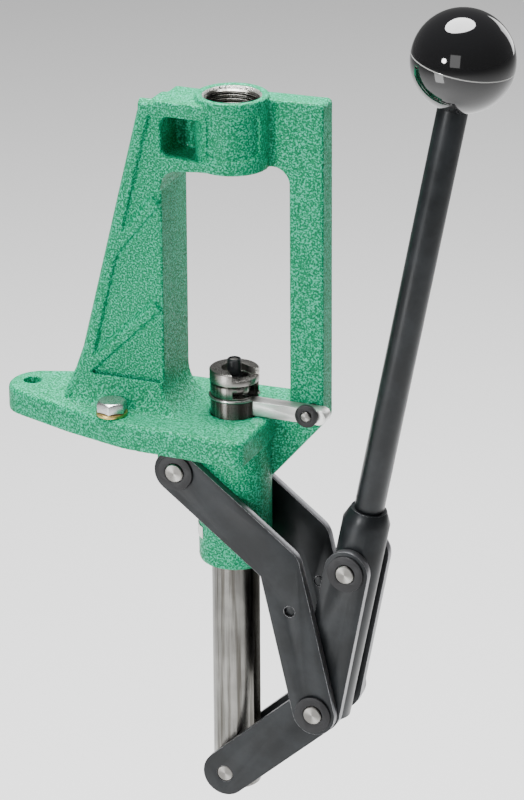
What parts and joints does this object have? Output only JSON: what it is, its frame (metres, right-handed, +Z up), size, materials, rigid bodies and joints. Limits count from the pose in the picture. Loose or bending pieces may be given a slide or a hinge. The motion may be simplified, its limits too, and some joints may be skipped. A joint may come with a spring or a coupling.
{
  "type": "bench press",
  "caption": "O-frame lever press: a round ram driven up through the base by a toggle linkage and a ball-ended handle, with a threaded boss above it.",
  "frame": {"origin": "on the bench face under the base flange, midway between the two bench bolts; the ram's axis is 57.5 mm along +X", "axes": "+Z up along the ram, +X from the bench towards the operator, +Y along the linkage pins towards the operator's right"},
  "size_m": [0.2802, 0.0836, 0.4485],
  "materials": {
    "green_paint": "hammered gloss enamel, speckled mint over green",
    "zinc_plate": "bright zinc plate",
    "yellow_zinc": "yellow zinc plate on steel",
    "label_film": "blank white film",
    "bright_steel": "turned, bright",
    "ring_steel": "black oxide spring steel",
    "ground_steel": "ground and oiled",
    "holder_steel": "satin, hardened",
    "spring_wire": "drawn wire",
    "black_oxide": "black oxide, satin, worn bright at the edges",
    "black_oxide_bar": "black oxide, satin",
    "ball_resin": "polished phenolic",
    "arm_steel": "milled, bright"
  },
  "bodies": {
    "frame": {"frame_casting": "green_paint", "bench_bolt_left": "zinc_plate", "bench_bolt_right": "zinc_plate", "lock_washer_left": "yellow_zinc", "lock_washer_right": "yellow_zinc", "blank_label": "label_film", "upper_pivot_pin": "bright_steel", "upper_pin_ring_left": "ring_steel", "upper_pin_ring_right": "ring_steel", "primer_arm_pin": "bright_steel", "primer_pin_clip": "ring_steel"},
    "ram": {"ram": "ground_steel", "ram_pin": "bright_steel", "shell_holder": "holder_steel", "shell_holder_spring": "spring_wire"},
    "handle": {"toggle_plate_left": "black_oxide", "toggle_plate_right": "black_oxide", "handle_block": "black_oxide_bar", "handle_rod": "black_oxide_bar", "ball_knob": "ball_resin", "knuckle_pin": "bright_steel", "block_pin": "bright_steel", "block_pin_ring_left": "ring_steel", "block_pin_ring_right": "ring_steel"},
    "toggle_arms": {"toggle_arm_left": "black_oxide", "toggle_arm_right": "black_oxide", "arm_dowel_left": "black_oxide_bar", "arm_dowel_right": "black_oxide_bar", "knuckle_pin_end_left": "bright_steel", "knuckle_pin_end_right": "bright_steel", "knuckle_ring_left": "ring_steel", "knuckle_ring_right": "ring_steel"},
    "primer_arm": {"primer_arm": "arm_steel", "primer_sleeve": "black_oxide_bar", "primer_plug_spring": "spring_wire"},
    "primer_plug": {"primer_plug": "bright_steel"}
  },
  "joints": [
    {"name": "ram_slide", "type": "slide", "parent": "frame", "child": "ram", "axis": [0, 0, 1], "range_m": [0, 0.1024]},
    {"name": "handle_hinge", "type": "hinge", "parent": "ram", "child": "handle", "pos_m": [0.0575, 0, -0.1899], "axis": [0, 1, 0], "range_deg": [0, 113.6]},
    {"name": "toggle_arm_hinge", "type": "hinge", "parent": "frame", "child": "toggle_arms", "pos_m": [0.0333, 0, -0.0156], "axis": [0, 1, 0], "range_deg": [0, 13.31]},
    {"name": "primer_arm_hinge", "type": "hinge", "parent": "frame", "child": "primer_arm", "pos_m": [0.1002, 0, 0.0194], "axis": [0, 1, 0], "range_deg": [0, 40.01]},
    {"name": "primer_plug_slide", "type": "slide", "parent": "primer_arm", "child": "primer_plug", "axis": [0, 0, 1], "range_m": [-0.003, 0], "stiffness_N_per_m": 300, "springref_m": 0.001, "deforming": ["primer_plug_spring"]}
  ],
  "couplings": [
    {"joint": "ram_slide", "follows": "handle_hinge", "m_per_rad": 0.051601},
    {"joint": "toggle_arm_hinge", "follows": "handle_hinge", "ratio": 0.11711},
    {"joint": "primer_arm_hinge", "follows": "handle_hinge", "ratio": 0.3521}
  ]
}
